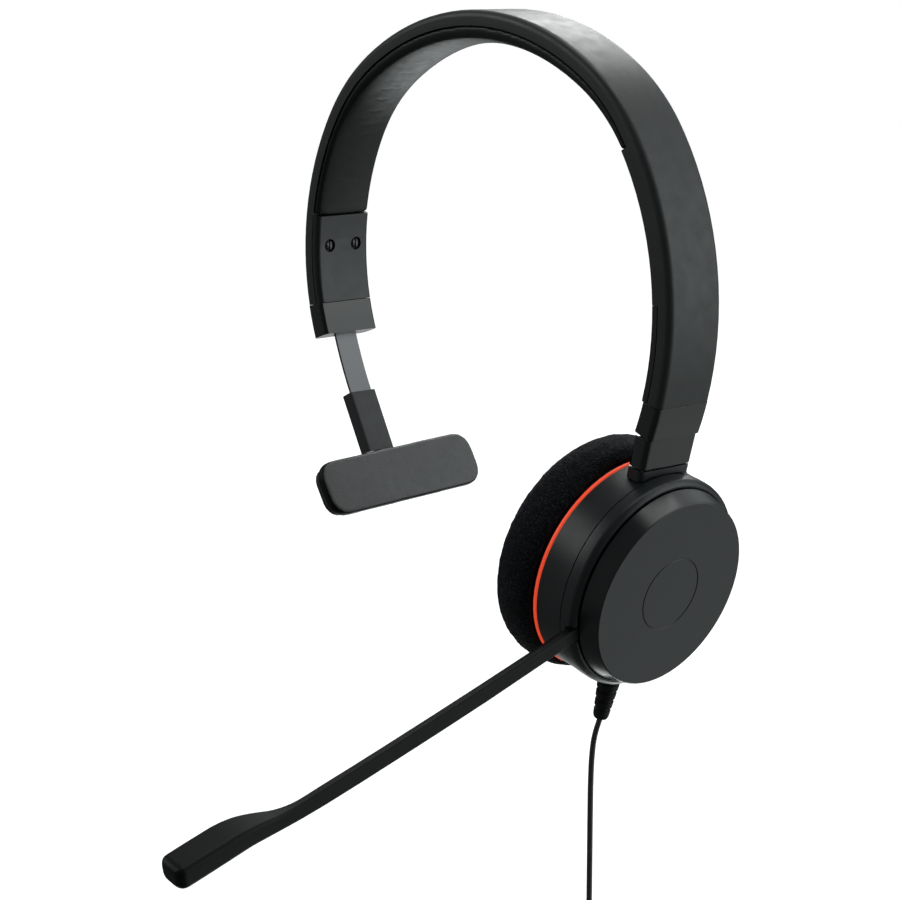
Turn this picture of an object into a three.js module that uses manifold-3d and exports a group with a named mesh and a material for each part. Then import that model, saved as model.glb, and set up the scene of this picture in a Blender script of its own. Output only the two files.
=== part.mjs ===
// Mono office headset: a sprung headband with a temple pad on one leg and, on the other, an earcup
// with a swinging boom microphone and a lead. Millimetres, +Z up, -Y towards the wearer's face,
// +X towards the earcup. The origin is the point of the crown cushion that rests on the head.

import * as THREE from 'three';
import { mergeVertices } from 'three/addons/utils/BufferGeometryUtils.js';
import Module from 'manifold-3d';

const wasm = await Module();
wasm.setup();

// ---- driving dimensions --------------------------------------------------------------------

const GAP = 0.3;                 // clearance between pieces that touch

// headband: arcs that join smoothly, from the crown down each leg; angles are from the vertical
const CROWN_TOP = 9;             // outer face of the band above the origin
const CROWN_RADIUS = 79;
const CROWN_END = 33.5;
const SHOULDER_RADIUS = 55;
const SHOULDER_END = 57;
const BAND_WIDTH = 20;
const BAND_THICK = 6.6;
const RIM_DEPTH = 4.2;           // depth of the shell's side walls under the cushion and the covers
const CHANNEL_HALF_WIDTH = 7.8;
const CHANNEL_DEPTHS = [1, 5.2];
const CUSHION_SPAN = [-81.2, 59];  // the crown cushion runs down to the cover on the temple pad's side
const CROWNED_TO = 59;           // how far the cushion stands proud of the legs, each way
const BAND_STEP = 3;             // degrees between sections

// the two legs; slide* describe the curved slider that runs in each, slideDepth below the outer face
// at the middle of the collar; its detent spring presses on the blade's inner (1) or outer (-1) face
const TBAR = {
  sign: -1, legRadius: 76.5, legEnd: 102.1, coverStart: 81.3, coverRadius: 1.6, screwAngle: 88.6,
  collarSpan: 7.6, collarThick: 6.4,
  slideDepth: 3, slideRadius: 120, slideAngle: 105.8, springFace: 1,
};
const CUP = {
  sign: 1, legRadius: 86.5, legEnd: 106, coverStart: 88, coverRadius: 0.8, screwAngle: 94,
  collarSpan: 6.1, collarThick: 6.3,
  slideDepth: 3.3, slideRadius: 140, slideAngle: 106.5, springFace: -1,
};

const BLADE_THICK = 0.8;
const BLADE_HALF_WIDTH = 3.9;
const BLADE_TAIL_HALF_WIDTH = 3.4;

// the two ball joints: on the stem's end and under the earcup's arm
const BALL = { radius: 1.9, neck: 1, throat: 1.6 };

// temple bar
const TBAR_TAIL = 10;            // blade above the collar's middle
const TBAR_REACH = 22.9;         // blade from the collar's middle to the stem
const STEM = { length: 18.5, halfWidth: 5, front: 1.25, back: -2.9, lean: 27 };
const PAD = {
  length: 59.2, height: 16.2, corner: 5.4, plate: 1.5, soft: 3.1, offset: 0.7, roll: 2.4, tilt: 1.4,
};
const PAD_PIVOT = { x: -0.9, z: -27.6 };   // centre of the ball on the stem's end
const PAD_FACE = 6.3;            // soft pad's face in front of the blade

// earcup: its own frame has +X out of the outer cap's face, +Z up the arm, origin on that face
const CUP_CENTRE = new THREE.Vector3(65.2, 0, -141.5);
const CUP_LEAN = 15.5;
const DRUM_RADIUS = 30;
const ARM_DEPTH = 12.65;         // arm, ball stud and socket behind the cap's face
const ARM = { bottom: 32.2, top: 40.5, halfWidth: 9.6, halfThick: 2.75 };
const BALL_HEIGHT = 29.2;
const CUP_BLADE_TAIL = 28;       // blade above the collar's middle
const CUP_BLADE_REACH = 8.4;     // blade's end inside the arm, from the collar's middle

// boom
const BOOM_DROP = 19.1;          // degrees below straight ahead
const BOOM_FACE = -4.6;

// lead
const RELIEF = { depth: 12.4, length: 14, flange: 2, neck: 1.5 };
const CORD_DIAMETER = 1.6;
const FLOOR = -272;              // the surface that the coil and the plug lie on
const TIE = 0.6;                 // thickness of the tie that the coil lies on
const COIL = { x: 26.3, y: 16, layers: 4, middle: 9.3 };
const PLUG = { x: 50, y: 17, relief: 8, body: 22, shell: 12.5 };

const rad = THREE.MathUtils.degToRad;

// ---- materials -----------------------------------------------------------------------------

const material = (color, roughness, metalness = 0) =>
  new THREE.MeshStandardMaterial({ color, roughness, metalness });
const MATTE = material(0x3a3d3f, 0.62);
const SATIN = material(0x2d3032, 0.42);
const GLOSS = material(0x191b1d, 0.16);
const LEATHERETTE = material(0x45484a, 0.6);
const FOAM = material(0x17191c, 0.95);
const ACCENT = material(0xf0553f, 0.5);
const RUBBER = material(0x1c1e1f, 0.7);
const STEEL = material(0x8e9194, 0.35, 0.9);
const DARK_STEEL = material(0x505356, 0.35, 0.85);
const BRASS = material(0xb59a5a, 0.35, 0.9);
const BOARD = material(0x1f5a3a, 0.5);
const FILM = material(0xc9c5b8, 0.4);

// ---- geometry helpers ----------------------------------------------------------------------

function signedVolume(geometry) {
  const position = geometry.attributes.position;
  const index = geometry.index.array;
  const [a, b, c] = [new THREE.Vector3(), new THREE.Vector3(), new THREE.Vector3()];
  let volume = 0;
  for (let i = 0; i < index.length; i += 3) {
    a.fromBufferAttribute(position, index[i]);
    b.fromBufferAttribute(position, index[i + 1]);
    c.fromBufferAttribute(position, index[i + 2]);
    volume += a.dot(b.cross(c)) / 6;
  }
  return volume;
}

// merged, indexed, with its faces pointing out
function closed(geometry) {
  const bare = new THREE.BufferGeometry();
  bare.setAttribute('position', geometry.attributes.position);
  bare.setIndex(geometry.index);
  const merged = mergeVertices(bare, 1e-4);
  const kept = [];
  const index = merged.index.array;
  for (let i = 0; i < index.length; i += 3) {
    const [a, b, c] = [index[i], index[i + 1], index[i + 2]];
    if (a !== b && b !== c && c !== a) kept.push(a, b, c);
  }
  merged.setIndex(kept);
  if (signedVolume(merged) < 0) merged.setIndex(kept.reverse());
  return merged;
}

function toSolid(geometry) {
  const merged = closed(geometry);
  return new wasm.Manifold(new wasm.Mesh({
    numProp: 3,
    vertProperties: new Float32Array(merged.attributes.position.array),
    triVerts: new Uint32Array(merged.index.array),
  }));
}

function toGeometry(solid) {
  const mesh = solid.getMesh();
  const geometry = new THREE.BufferGeometry();
  geometry.setAttribute('position', new THREE.Float32BufferAttribute(mesh.vertProperties, 3));
  geometry.setIndex(new THREE.Uint32BufferAttribute(mesh.triVerts, 1));
  return geometry;
}

function cut(geometry, ...tools) {
  return toGeometry(tools.reduce((solid, tool) => solid.subtract(toSolid(tool)), toSolid(geometry)));
}

function join(...geometries) {
  return toGeometry(geometries.map(toSolid).reduce((whole, piece) => whole.add(piece)));
}

// a closed skin over sections of equal point count, each placed by place(sectionNumber, point)
function loft(sections, place) {
  const count = sections[0].length;
  const positions = sections.flatMap((section, k) => section.flatMap((p) => place(k, p).toArray()));
  const faces = [];
  for (let k = 0; k + 1 < sections.length; k += 1) {
    for (let i = 0; i < count; i += 1) {
      const a = k * count + i;
      const b = k * count + ((i + 1) % count);
      faces.push(a, b, b + count, a, b + count, a + count);
    }
  }
  const cap = (section, offset, same) => {
    const turn = Math.sign(THREE.ShapeUtils.area(section));
    for (const [a, b, c] of THREE.ShapeUtils.triangulateShape(section, [])) {
      const agrees = THREE.ShapeUtils.area([section[a], section[b], section[c]]) * turn > 0;
      const [second, third] = agrees === same ? [b, c] : [c, b];
      faces.push(offset + a, offset + second, offset + third);
    }
  };
  cap(sections[0], 0, false);
  cap(sections.at(-1), (sections.length - 1) * count, true);
  const geometry = new THREE.BufferGeometry();
  geometry.setAttribute('position', new THREE.Float32BufferAttribute(positions, 3));
  geometry.setIndex(faces);
  return geometry;
}

// a rectangle with rounded corners: +-halfWidth across, from `near` to `far`, corner radius at each
function rounded(halfWidth, near, far, nearRadius = 0, farRadius = 0, steps = 4) {
  const points = [];
  const corner = (x, y, radius, from) => {
    if (radius === 0) {
      points.push(new THREE.Vector2(x, y));
      return;
    }
    const cx = x - Math.sign(x) * radius;
    const cy = y + (y === near ? radius : -radius);
    for (let i = 0; i <= steps; i += 1) {
      const angle = rad(from + (90 * i) / steps);
      points.push(new THREE.Vector2(cx + radius * Math.cos(angle), cy + radius * Math.sin(angle)));
    }
  };
  corner(-halfWidth, near, nearRadius, 180);
  corner(halfWidth, near, nearRadius, 270);
  corner(halfWidth, far, farRadius, 0);
  corner(-halfWidth, far, farRadius, 90);
  return points;
}

// a box between two corners
function box(x0, y0, z0, x1, y1, z1) {
  const geometry = new THREE.BoxGeometry(x1 - x0, y1 - y0, z1 - z0);
  return geometry.translate((x0 + x1) / 2, (y0 + y1) / 2, (z0 + z1) / 2);
}

// a cylinder from one point to another
function rod(from, to, radius, sides = 14) {
  const axis = new THREE.Vector3().subVectors(to, from);
  const middle = new THREE.Vector3().addVectors(from, to).multiplyScalar(0.5);
  const geometry = new THREE.CylinderGeometry(radius, radius, axis.length(), sides);
  const turn = new THREE.Quaternion().setFromUnitVectors(new THREE.Vector3(0, 1, 0), axis.normalize());
  return geometry.applyQuaternion(turn).translate(middle.x, middle.y, middle.z);
}

// a turned piece about the X axis; the profile is [radius, x] pairs
function turned(profile, sides = 64) {
  const onAxis = (p) => p[0] === 0;
  const points = profile.map(([radius, x]) => new THREE.Vector2(radius, x));
  if (!onAxis(profile[0]) || !onAxis(profile.at(-1))) points.push(points[0].clone());
  return new THREE.LatheGeometry(points, sides).rotateZ(-Math.PI / 2);
}

// ---- the band's and the sliders' paths -------------------------------------------------------

const normal = (angle) => new THREE.Vector2(Math.sin(rad(angle)), Math.cos(rad(angle)));

// a point under the band's outer face, on one side, where the band's normal makes `angle`
function bandPoint(side, angle, depth) {
  const centre = new THREE.Vector2(0, CROWN_TOP - CROWN_RADIUS);
  let radius = CROWN_RADIUS;
  if (angle > CROWN_END) {
    centre.addScaledVector(normal(CROWN_END), CROWN_RADIUS - SHOULDER_RADIUS);
    radius = SHOULDER_RADIUS;
  }
  if (angle > SHOULDER_END) {
    centre.addScaledVector(normal(SHOULDER_END), SHOULDER_RADIUS - side.legRadius);
    radius = side.legRadius;
  }
  centre.addScaledVector(normal(angle), radius - depth);
  return new THREE.Vector2(side.sign * centre.x, centre.y);
}

// the whole arch by one signed angle, negative on the temple-pad side
const archPoint = (angle, depth) => bandPoint(angle < 0 ? TBAR : CUP, Math.abs(angle), depth);

// a slider's arc touches the band's at the middle of the collar; `along` is millimetres from there
function slidePoint(side, along, offset) {
  const start = bandPoint(side, side.legEnd + side.collarSpan / 2, side.slideDepth);
  const centre = new THREE.Vector2(side.sign * start.x, start.y);
  centre.addScaledVector(normal(side.slideAngle), -side.slideRadius);
  const angle = side.slideAngle + THREE.MathUtils.radToDeg(along / side.slideRadius);
  const point = centre.addScaledVector(normal(angle), side.slideRadius - offset);
  return new THREE.Vector2(side.sign * point.x, point.y);
}

// a section of [y, depth] points swept from one place on a path to another
function sweep(path, sectionAt, from, to, step) {
  const count = Math.max(1, Math.ceil((to - from) / step));
  const places = Array.from({ length: count + 1 }, (_, k) => from + ((to - from) * k) / count);
  const sections = places.map((place) => (typeof sectionAt === 'function' ? sectionAt(place) : sectionAt));
  return loft(sections, (k, p) => {
    const at = path(places[k], p.y);
    return new THREE.Vector3(at.x, p.x, at.y);
  });
}
const bandSweep = (section, from, to) => sweep(archPoint, section, from, to, BAND_STEP);
const slideSweep = (side, section, from, to, step = 4) =>
  sweep((along, offset) => slidePoint(side, along, offset), section, from, to, step);
const legSweep = (side, section, from, to) =>
  (side.sign > 0 ? bandSweep(section, from, to) : bandSweep(section, -to, -from));

const inSpace = (point, y) => new THREE.Vector3(point.x, y, point.y);

// ---- the assembly ----------------------------------------------------------------------------

const headset = new THREE.Group();

function addPiece(parent, name, geometry, look) {
  const piece = new THREE.Mesh(closed(geometry), look);
  piece.name = name;
  parent.add(piece);
  return piece;
}

// ---- headband ----------------------------------------------------------------------------------

const HALF_WIDTH = BAND_WIDTH / 2;
const SPRING_BAND = { halfWidth: 6, depths: [1.8, 2.5], tbarEnd: 76, cupEnd: 82 };
const LINER = { halfWidth: 7.4, depths: [3, 4], ends: [-79, 58.5] };

// the covers' screws: radii, depths below the band's outer face, and the bosses that hold them
const SCREW = { y: 5, head: 1.35, shank: 0.6, recess: 1.95, hole: 0.95, headDepths: [5.6, 6.4], tip: 2.4 };
const SLOT = { length: 4, width: 0.4, depth: 0.35 };
const BOSS = { y: 6.1, halfWidth: 2.1, span: 3.2 };

const screwPlace = (side, sign, depth) =>
  inSpace(bandPoint(side, side.screwAngle, depth), sign * SCREW.y);
const alongScrew = (side, sign, from, to, radius) =>
  rod(screwPlace(side, sign, from), screwPlace(side, sign, to), radius, 12);

function headbandShell() {
  const body = bandSweep(rounded(HALF_WIDTH, 0, BAND_THICK, 2, 0.8), -TBAR.legEnd, CUP.legEnd);
  const open = rounded(HALF_WIDTH + 1, RIM_DEPTH, BAND_THICK + 2);
  const channel = rounded(CHANNEL_HALF_WIDTH, ...CHANNEL_DEPTHS);
  const hollow = cut(
    body,
    bandSweep(channel, -TBAR.legEnd - 1, CUP.legEnd + 1),
    bandSweep(open, -TBAR.legEnd - 1, CUSHION_SPAN[1]),
    legSweep(CUP, open, CUP.coverStart, CUP.legEnd + 1),
  );
  const bosses = [];
  const holes = [];
  for (const side of [TBAR, CUP]) {
    for (const sign of [-1, 1]) {
      const outline = rounded(BOSS.halfWidth, CHANNEL_DEPTHS[0], RIM_DEPTH - 0.2);
      const wall = outline.map((p) => new THREE.Vector2(p.x + sign * BOSS.y, p.y));
      bosses.push(legSweep(side, wall, side.screwAngle - BOSS.span / 2, side.screwAngle + BOSS.span / 2));
      holes.push(alongScrew(side, sign, SCREW.tip - 0.4, RIM_DEPTH + 1, SCREW.hole));
    }
  }
  return cut(join(hollow, ...bosses), ...holes);
}
addPiece(headset, 'headband_shell', headbandShell(), MATTE);

const springSection = rounded(SPRING_BAND.halfWidth, ...SPRING_BAND.depths);
const springBand = bandSweep(springSection, -SPRING_BAND.tbarEnd, SPRING_BAND.cupEnd);
addPiece(headset, 'spring_band', springBand, STEEL);

const linerSection = rounded(LINER.halfWidth, ...LINER.depths);
addPiece(headset, 'cushion_liner', bandSweep(linerSection, ...LINER.ends), SATIN);

// the pad under the crown: full width, crowned across, thickest at the top and flush with the legs
// at its ends; depths below the band's outer face, down to the origin at the crown
const CUSHION = { edge: 5.9, legEdge: 5.2, ends: 6.7, crown: CROWN_TOP, fullness: 0.7 };

function cushionSection(angle) {
  const spread = Math.min(1, Math.abs(angle) / CROWNED_TO);
  const fade = Math.max(0, Math.cos((spread * Math.PI) / 2)) ** CUSHION.fullness;
  const middle = CUSHION.ends + (CUSHION.crown - CUSHION.ends) * fade;
  const onLeg = THREE.MathUtils.smoothstep(-angle, 20, 55);
  const edge = CUSHION.edge + (CUSHION.legEdge - CUSHION.edge) * onLeg;
  const section = [-HALF_WIDTH, HALF_WIDTH].map((y) => new THREE.Vector2(y, RIM_DEPTH + GAP));
  for (let i = 0; i <= 8; i += 1) {
    const turn = rad(22.5 * i);
    const rise = Math.max(0, Math.sin(turn)) ** CUSHION.fullness;
    const depth = edge + (middle - edge) * rise;
    section.push(new THREE.Vector2(HALF_WIDTH * Math.cos(turn), depth));
  }
  return section;
}
const headbandCushion = bandSweep(cushionSection, CUSHION_SPAN[0], CUSHION_SPAN[1] - 0.1);
addPiece(headset, 'headband_cushion', headbandCushion, LEATHERETTE);

// the covers that close the slider channel at each end, their screws, collars and detent springs
function sliderCover(side) {
  const section = rounded(HALF_WIDTH, RIM_DEPTH + GAP, BAND_THICK, 0, side.coverRadius);
  const plate = legSweep(side, section, side.coverStart + 0.1, side.legEnd);
  const tools = [-1, 1].flatMap((sign) => [
    alongScrew(side, sign, SCREW.headDepths[0] - GAP, BAND_THICK + 1, SCREW.recess),
    alongScrew(side, sign, RIM_DEPTH - 1, BAND_THICK, SCREW.hole),
  ]);
  return cut(plate, ...tools);
}

function coverScrew(side, sign) {
  const slot = box(
    -SLOT.length / 2, -SLOT.width / 2, -SLOT.depth, SLOT.length / 2, SLOT.width / 2, SLOT.depth,
  );
  const top = screwPlace(side, sign, SCREW.headDepths[1]);
  const outward = normal(side.screwAngle);
  const turn = Math.atan2(outward.x * side.sign, outward.y);
  slot.rotateY(turn).translate(top.x, top.y, top.z);
  const head = alongScrew(side, sign, ...SCREW.headDepths, SCREW.head);
  const shank = alongScrew(side, sign, SCREW.tip, SCREW.headDepths[0] + 0.1, SCREW.shank);
  return cut(join(head, shank), slot);
}

function collar(side, slotHalfWidth) {
  const body = legSweep(
    side, rounded(HALF_WIDTH, 0, side.collarThick, 1.8, 1.3),
    side.legEnd + 0.09, side.legEnd + side.collarSpan,
  );
  return cut(body, slideSweep(side, rounded(slotHalfWidth, -1, 1), -9, 9));
}

// a bowed leaf beside the blade, nearest to it at the middle of its length
const LEAF = { halfWidth: 2.4, thick: 0.3, from: -14, to: -6, rise: 1.05, bow: 0.2 };

function detentSpring(side) {
  const length = LEAF.to - LEAF.from;
  const section = (along) => {
    const wave = Math.cos((2 * Math.PI * (along - (LEAF.from + LEAF.to) / 2)) / length);
    const offset = side.springFace * (LEAF.rise - LEAF.bow * wave);
    return rounded(LEAF.halfWidth, offset - LEAF.thick / 2, offset + LEAF.thick / 2);
  };
  return slideSweep(side, section, LEAF.from, LEAF.to, 1);
}

for (const [side, name, slotHalfWidth] of [
  [TBAR, 'tbar', BLADE_HALF_WIDTH + 0.5], [CUP, 'cup', BLADE_TAIL_HALF_WIDTH + 0.5],
]) {
  addPiece(headset, `${name}_side_cover`, sliderCover(side), MATTE);
  addPiece(headset, `${name}_collar`, collar(side, slotHalfWidth), GLOSS);
  addPiece(headset, `${name}_detent_spring`, detentSpring(side), STEEL);
  addPiece(headset, `${name}_cover_screw_front`, coverScrew(side, -1), DARK_STEEL);
  addPiece(headset, `${name}_cover_screw_back`, coverScrew(side, 1), DARK_STEEL);
}

// ---- temple bar --------------------------------------------------------------------------------

const blade = (halfWidth) => rounded(halfWidth, -BLADE_THICK / 2, BLADE_THICK / 2);
const tbarTail = slideSweep(TBAR, blade(BLADE_TAIL_HALF_WIDTH), -TBAR_TAIL, 4.5);
const tbarFace = slideSweep(TBAR, blade(BLADE_HALF_WIDTH), 4, TBAR_REACH + 4);
addPiece(headset, 'tbar_blade', join(tbarTail, tbarFace), STEEL);

// the stem's frame: origin at its top, +X towards the head, +Z up the stem
const stemTop = slidePoint(TBAR, TBAR_REACH, 0);
const stem = new THREE.Group();
stem.position.set(stemTop.x, 0, stemTop.y);
stem.rotation.y = -rad(STEM.lean);
headset.add(stem);

const ballAt = (x, z, radius) => new THREE.SphereGeometry(radius, 16, 10).translate(x, 0, z);

function stemGeometry() {
  const outline = rounded(STEM.halfWidth, STEM.back, STEM.front, 0.5, 0.9, 2);
  const ends = [0, -STEM.length];
  const body = loft([outline, outline], (k, p) => new THREE.Vector3(p.y, p.x, ends[k]));
  const neck = rod(
    new THREE.Vector3(PAD_PIVOT.x, 0, PAD_PIVOT.z), new THREE.Vector3(PAD_PIVOT.x, 0, 1 - STEM.length),
    BALL.neck,
  );
  const ball = ballAt(PAD_PIVOT.x, PAD_PIVOT.z, BALL.radius);
  const slotDepth = 4 + BLADE_THICK / 2;
  const [thick, wide] = [BLADE_THICK / 2 + GAP, BLADE_HALF_WIDTH + GAP];
  return cut(join(body, neck, ball), box(-thick, -wide, -slotDepth, thick, wide, 1));
}
addPiece(stem, 'tbar_stem', stemGeometry(), MATTE);

// the pad's frame turns about the ball's centre
const padFrame = new THREE.Group();
padFrame.position.set(PAD_PIVOT.x, 0, PAD_PIVOT.z);
padFrame.rotation.set(rad(PAD.roll), -rad(PAD.tilt), 0);
stem.add(padFrame);
const PAD_FRONT = PAD_FACE - PAD_PIVOT.x;
const PAD_BACK = PAD_FRONT - PAD.soft;

function padOutline(inset) {
  const half = PAD.length / 2 - inset;
  const tall = PAD.height / 2 - inset;
  const radius = PAD.corner - inset;
  return rounded(half, -tall, tall, radius, radius, 5);
}
const padPoint = (x) => (k, p) => new THREE.Vector3(x[k], p.x + PAD.offset, p.y);

// the plate's boss holds the ball; its throat is open upwards for the neck
function padBackplate() {
  const outline = padOutline(0.9);
  const front = PAD_BACK - GAP;
  const plate = loft([outline, outline], padPoint([front - PAD.plate, front]));
  const boss = box(-3.2, -3.8, -3.4, front - 0.5, 3.8, 1.5);
  const throat = box(-BALL.throat - 0.3, -BALL.throat, 0, BALL.throat + 0.3, BALL.throat, 3);
  return cut(join(plate, boss), ballAt(0, 0, BALL.radius + GAP), throat);
}
addPiece(padFrame, 'pad_backplate', padBackplate(), MATTE);

function templePad() {
  const sections = [padOutline(0.3), padOutline(0), padOutline(0), padOutline(0.2), padOutline(0.7)];
  return loft(sections, padPoint([0, 0.4, 2.3, 2.8, PAD.soft].map((x) => PAD_BACK + x)));
}
addPiece(padFrame, 'temple_pad', templePad(), LEATHERETTE);

// ---- earcup slider and arm -------------------------------------------------------------------

const cupBlade = slideSweep(CUP, blade(BLADE_TAIL_HALF_WIDTH), -CUP_BLADE_TAIL, CUP_BLADE_REACH);
addPiece(headset, 'cup_blade', cupBlade, STEEL);

const cup = new THREE.Group();
cup.position.copy(CUP_CENTRE);
cup.rotation.y = rad(CUP_LEAN);
headset.add(cup);
cup.updateMatrix();
const toCup = cup.matrix.clone().invert();

const STUD = { shaft: 1.4, top: 35.9 };
const onArm = (z) => new THREE.Vector3(-ARM_DEPTH, 0, z);

// the arm's outline, between two heights in the cup's frame
function armPrism(bottom, top) {
  const outline = rounded(ARM.halfWidth, -ARM.halfThick, ARM.halfThick, 1.3, 1.8);
  const ends = [bottom, top];
  return loft([outline, outline], (k, p) => new THREE.Vector3(-ARM_DEPTH + p.y, p.x, ends[k]));
}

function cupArm() {
  const slotSection = rounded(BLADE_TAIL_HALF_WIDTH + GAP, -BLADE_THICK, BLADE_THICK);
  const slot = slideSweep(CUP, slotSection, 0, CUP_BLADE_REACH + GAP).applyMatrix4(toCup);
  const bore = rod(onArm(ARM.bottom - 2), onArm(STUD.top + GAP), STUD.shaft + GAP);
  return cut(armPrism(ARM.bottom, ARM.top), slot, bore);
}
addPiece(cup, 'cup_arm', cupArm(), GLOSS);

function ballStud() {
  const ball = ballAt(-ARM_DEPTH, BALL_HEIGHT, BALL.radius);
  const neck = rod(onArm(BALL_HEIGHT), onArm(ARM.bottom + 1), BALL.neck);
  const shaft = rod(onArm(ARM.bottom + 0.6), onArm(STUD.top), STUD.shaft);
  return join(ball, neck, shaft);
}
addPiece(cup, 'ball_stud', ballStud(), STEEL);

// ---- earcup ------------------------------------------------------------------------------------

// a plinth on the drum, under the arm, with a sleeve round the ball that goes in through the wall
const SOCKET = { half: 4, inner: 2.9, outer: 2.7, bottom: 26.2, top: ARM.bottom - 0.5 };

function armSocket() {
  const reach = DRUM_RADIUS + GAP;
  const drum = turned([[0, 0], [reach, 0], [reach, -30], [0, -30]]);
  const plinth = cut(armPrism(26, SOCKET.top), drum);
  const sleeve = box(
    -ARM_DEPTH - SOCKET.inner, -SOCKET.half, SOCKET.bottom,
    -ARM_DEPTH + SOCKET.outer, SOCKET.half, SOCKET.top - 0.2,
  );
  const hollow = ballAt(-ARM_DEPTH, BALL_HEIGHT, BALL.radius + GAP);
  const throat = rod(onArm(BALL_HEIGHT), onArm(SOCKET.top + 1), BALL.throat);
  return cut(join(plinth, sleeve), hollow, throat);
}
addPiece(cup, 'arm_socket', armSocket(), SATIN);

function cupHousing() {
  const drum = turned([
    [1.5, -7], [12.9, -7], [12.9, -9.7], [DRUM_RADIUS - 0.1, -9.7], [DRUM_RADIUS, -18.4],
    [28.7, -18.4], [28.6, -11.2], [11.5, -11.2], [11.5, -8.4], [1.5, -8.4],
  ]);
  const window = box(
    -ARM_DEPTH - SOCKET.inner - GAP, -SOCKET.half - GAP, SOCKET.bottom - 1,
    -ARM_DEPTH + SOCKET.outer + GAP, SOCKET.half + GAP, 40,
  );
  const below = (z) => new THREE.Vector3(-RELIEF.depth, 0, -z);
  const leadHole = rod(below(DRUM_RADIUS - 2), below(DRUM_RADIUS + 2), RELIEF.neck + GAP);
  const pocket = rod(below(DRUM_RADIUS - 4.5), below(DRUM_RADIUS - 1.4), RELIEF.flange + GAP);
  return cut(drum, window, leadHole, pocket);
}
addPiece(cup, 'cup_housing', cupHousing(), MATTE);

// the cap, with a plain engraved circle in its face and a hollow boss for its screw
const outerCap = turned([
  [0, 1], [10.05, 1], [10.12, 0.8], [10.33, 0.8], [10.4, 1], [26.2, 1], [26.5, 0.75], [28, -4.3],
  [26.7, -4.3], [25, -0.9], [5, -0.9], [5, -6.6], [1.2, -6.6], [1.2, -3], [0, -3],
]);
addPiece(cup, 'outer_cap', outerCap, SATIN);

const washer = (inner, outer, front, back, sides) =>
  turned([[inner, front], [outer, front], [outer, back], [inner, back]], sides);
addPiece(cup, 'circuit_board', washer(5.6, 21, -2.6, -3.6, 24), BOARD);
addPiece(cup, 'friction_washer', washer(14.2, 24, -8.75, -9.35, 24), STEEL);
addPiece(cup, 'accent_ring', washer(29, 30.3, -18.7, -19.4), ACCENT);

const capScrew = turned([[0, -4], [0.9, -4], [0.9, -8.7], [2.2, -8.7], [2.2, -9.9], [0, -9.9]], 12);
addPiece(cup, 'cap_screw', capScrew, STEEL);

const driverBaffle = turned([
  [12, -21], [12, -19.8], [14.7, -19.8], [14.7, -15.4], [16, -15.4], [16, -19.7], [27.2, -19.7],
  [27.2, -16.6], [28.4, -16.6], [28.4, -19.7], [30, -19.7], [30, -21],
], 32);
addPiece(cup, 'driver_baffle', driverBaffle, SATIN);

const driverMagnet = turned([
  [0, -12.2], [9, -12.2], [9, -15.8], [13, -15.8], [14.3, -16.6], [14.3, -19.5], [13.6, -19.5],
  [13.2, -17], [8, -16.6], [0, -16.6],
], 24);
addPiece(cup, 'driver_magnet', driverMagnet, STEEL);

const diaphragm = turned([
  [0, -19.4], [6, -18.9], [12.8, -18.4], [12.8, -18.7], [6, -19.25], [0, -19.7],
], 24);
addPiece(cup, 'driver_diaphragm', diaphragm, FILM);

const foamCushion = turned([
  [0, -21.4], [30.4, -21.4], [30.4, -19.9], [31.2, -19.7], [33, -22.5], [33.5, -27], [32.5, -31.2],
  [29.7, -34.3], [25, -35.5], [14, -33.8], [0, -32.8],
], 36);
addPiece(cup, 'foam_cushion', foamCushion, FOAM);

// ---- boom ----------------------------------------------------------------------------------------

// the boom's frame turns about the earcup's axis; the boom runs along its -Y
const boomFrame = new THREE.Group();
boomFrame.rotation.x = rad(BOOM_DROP);
cup.add(boomFrame);

// along the boom: distance from the earcup's axis, thickness, lower and upper edges; the microphone's
// wider tip is from 121 on
const BOOM_SHAPE = [
  [26.8, 2.6, -2.4, 2.1], [60, 2.5, -3.7, 1.4], [90, 2.5, -4, 1.1], [112, 2.5, -3.9, 1.2],
  [121, 2.7, -3.5, 1.3], [126, 3.9, -3.2, 1.8], [130, 5.8, -3, 2.5], [134.5, 7.6, -2.8, 3.1],
  [139, 8.5, -2.9, 3.3], [146, 8.7, -3, 3.3], [156, 8.7, -3, 3.2],
];
const BOOM_END = { at: 155.7, radius: 2.5, across: 0.6 };

// sections along the boom on smooth curves through those numbers, then the rounded end
function boomStations() {
  const numbers = BOOM_SHAPE.flatMap((row) => row.slice(1));
  const shape = new THREE.CubicInterpolant(BOOM_SHAPE.map((row) => row[0]), numbers, 3);
  const at = [26.8, 43, 60, 75, 90, 101, 112, 116, 119];
  for (let x = 121; x < 141; x += 1.5) at.push(x);
  at.push(BOOM_END.at - BOOM_END.radius - 5);
  const stations = at.map((x) => [x, 0]);
  for (let turn = 0; turn <= 75; turn += 15) {
    const x = BOOM_END.at - BOOM_END.radius * (1 - Math.sin(rad(turn)));
    stations.push([x, BOOM_END.radius * (1 - Math.cos(rad(turn)))]);
  }
  return stations.map(([x, inset]) => {
    const [thick, low, high] = shape.evaluate(x);
    const side = inset * BOOM_END.across;
    return { at: x, near: inset, thick: thick - inset, low: low + side, high: high - side };
  });
}
const BOOM_STATIONS = boomStations();

function boomSection({ near, thick, low, high }, grow = 0) {
  const half = (high - low) / 2 + grow;
  const radius = Math.min(0.5 + 0.13 * (thick - near), half - 0.2);
  const outline = rounded(half, near - grow, thick + grow, radius, radius, 3);
  return outline.map((p) => new THREE.Vector2(p.x + (high + low) / 2, p.y));
}
const boomPlace = (stations) => (k, p) => new THREE.Vector3(BOOM_FACE - p.y, -stations[k].at, p.x);

const MIC = { at: 147, height: 0.1, radius: 2.3, bottom: -8.4, back: -12.9 };
const micPlace = (x) => new THREE.Vector3(x, -MIC.at, MIC.height);

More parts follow.
